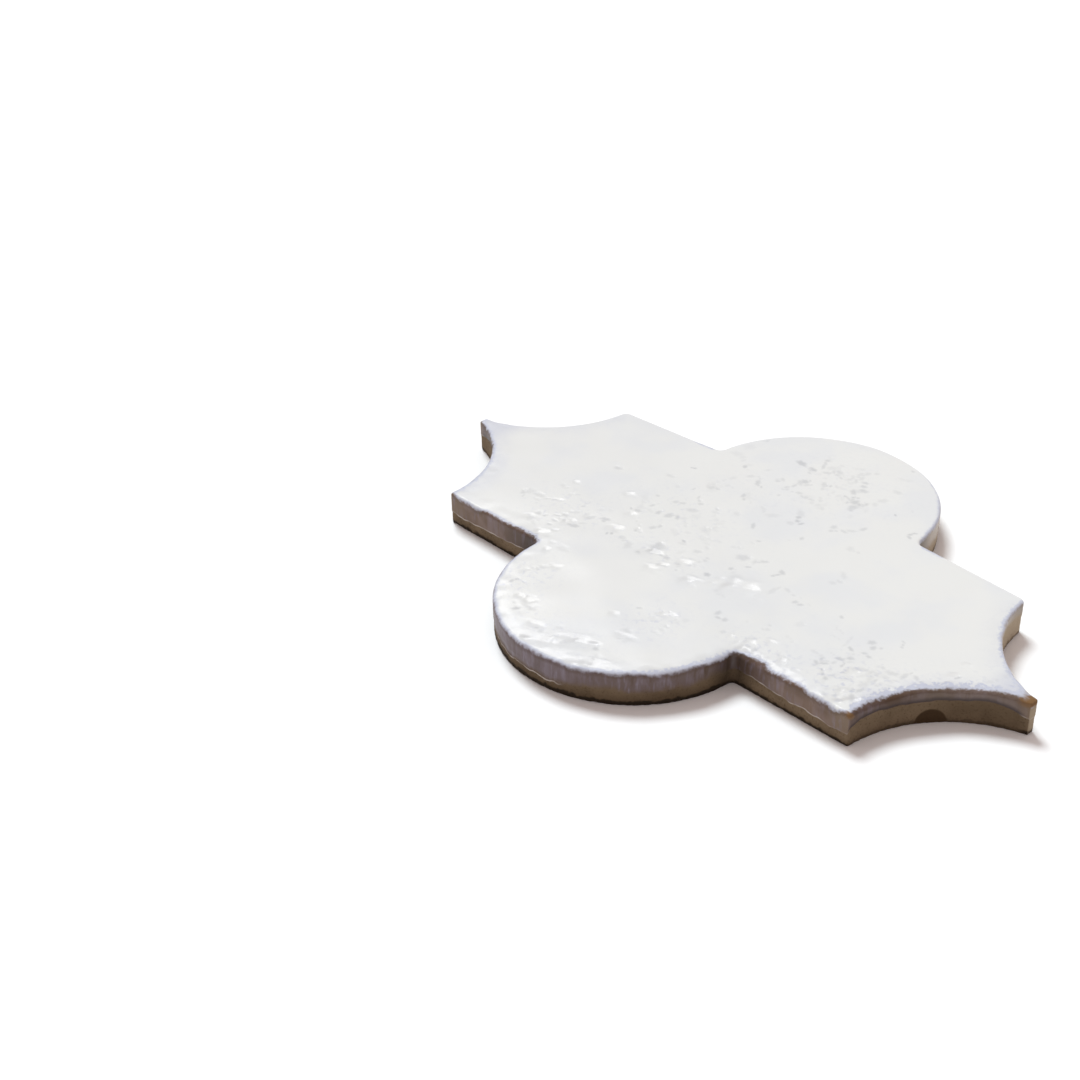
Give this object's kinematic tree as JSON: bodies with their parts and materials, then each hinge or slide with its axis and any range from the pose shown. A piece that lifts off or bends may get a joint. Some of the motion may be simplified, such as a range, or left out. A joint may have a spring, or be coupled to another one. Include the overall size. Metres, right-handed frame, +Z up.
{
  "type": "arabesque tile",
  "caption": "Glazed stoneware arabesque tile: a straight neck with round side lobes and horned ends, whose hollows take the lobes of neighbouring tiles.",
  "frame": {"origin": "on the bedding face, under the middle of the tile", "axes": "+X from tip to tip, +Y from lobe to lobe, +Z up out of the glazed face"},
  "size_m": [0.2102, 0.152, 0.0105],
  "materials": {
    "white_glaze": "gloss white glaze, pitted, thinning to grey blue at the edges, over brown stoneware that shows on the sides and the bedding face"
  },
  "bodies": {
    "root": {"arabesque_tile": "white_glaze"}
  },
  "joints": []
}
